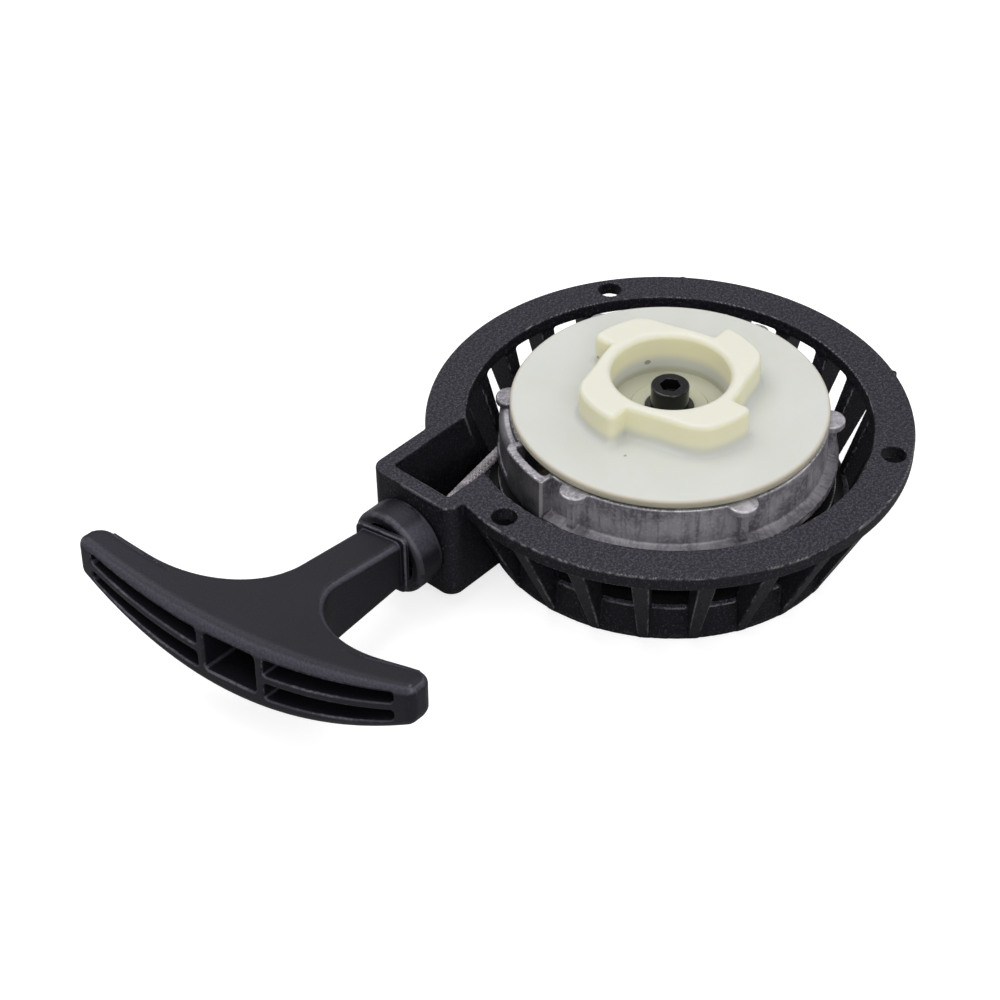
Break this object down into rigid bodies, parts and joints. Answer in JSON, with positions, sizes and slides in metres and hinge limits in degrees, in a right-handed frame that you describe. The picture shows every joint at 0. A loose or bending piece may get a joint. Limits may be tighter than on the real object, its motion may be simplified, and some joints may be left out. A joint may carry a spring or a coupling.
{
  "type": "recoil starter",
  "caption": "Recoil pull starter for a small two-stroke engine: ribbed black housing, alloy reel, nylon drive disc with dogs, rope and T-grip handle.",
  "frame": {"origin": "centre of the mounting-hole circle, on the mounting face", "axes": "+Z along the reel's axis, out of the mounting face towards the engine; +X along the rope's pull, from the reel to the handle; +Y completes the right-handed set"},
  "size_m": [0.2042, 0.1453, 0.0497],
  "materials": {
    "black_plastic": "satin, lightly grained",
    "cast_aluminium": "as cast with machined streaks",
    "nylon": "natural moulded",
    "black_steel": "black oxide",
    "zinc_steel": "zinc plated",
    "spring_steel": "oiled strip",
    "bronze": "sintered",
    "rope": "twisted synthetic cord"
  },
  "bodies": {
    "housing_body": {"housing": "black_plastic", "centre_post": "zinc_steel", "recoil_spring": "spring_steel", "spring_cover": "black_steel", "rope_eyelet": "bronze", "rope_collar": "black_plastic", "rope_run": "rope", "thrust_washer": "zinc_steel", "retaining_washer": "black_steel", "centre_screw": "black_steel"},
    "reel_body": {"reel": "cast_aluminium", "reel_bush": "bronze", "rope_coil": "rope", "reel_knot": "rope", "drive_spring": "spring_steel"},
    "drive_body": {"drive_disc": "nylon", "disc_bush": "bronze"},
    "handle_body": {"rope_tail": "rope", "pull_handle": "black_plastic", "handle_washer": "zinc_steel", "handle_knot": "rope"}
  },
  "joints": [
    {"name": "reel_spin", "type": "hinge", "parent": "housing_body", "child": "reel_body", "pos_m": [0, 0, -0.0147], "axis": [0, 0, 1], "range_deg": [0, 900], "stiffness_Nm_per_rad": 0.04, "springref_deg": -572.96, "deforming": ["recoil_spring"]},
    {"name": "drive_windup", "type": "hinge", "parent": "reel_body", "child": "drive_body", "pos_m": [0, 0, 0.00335], "axis": [0, 0, 1], "range_deg": [-270, 0], "stiffness_Nm_per_rad": 0.1, "springref_deg": 34.38, "deforming": ["drive_spring"]},
    {"name": "handle_pull", "type": "slide", "parent": "housing_body", "child": "handle_body", "axis": [1, 0, 0], "range_m": [0, 0.62832]}
  ],
  "couplings": [
    {"joint": "handle_pull", "follows": "reel_spin", "m_per_rad": 0.04}
  ]
}
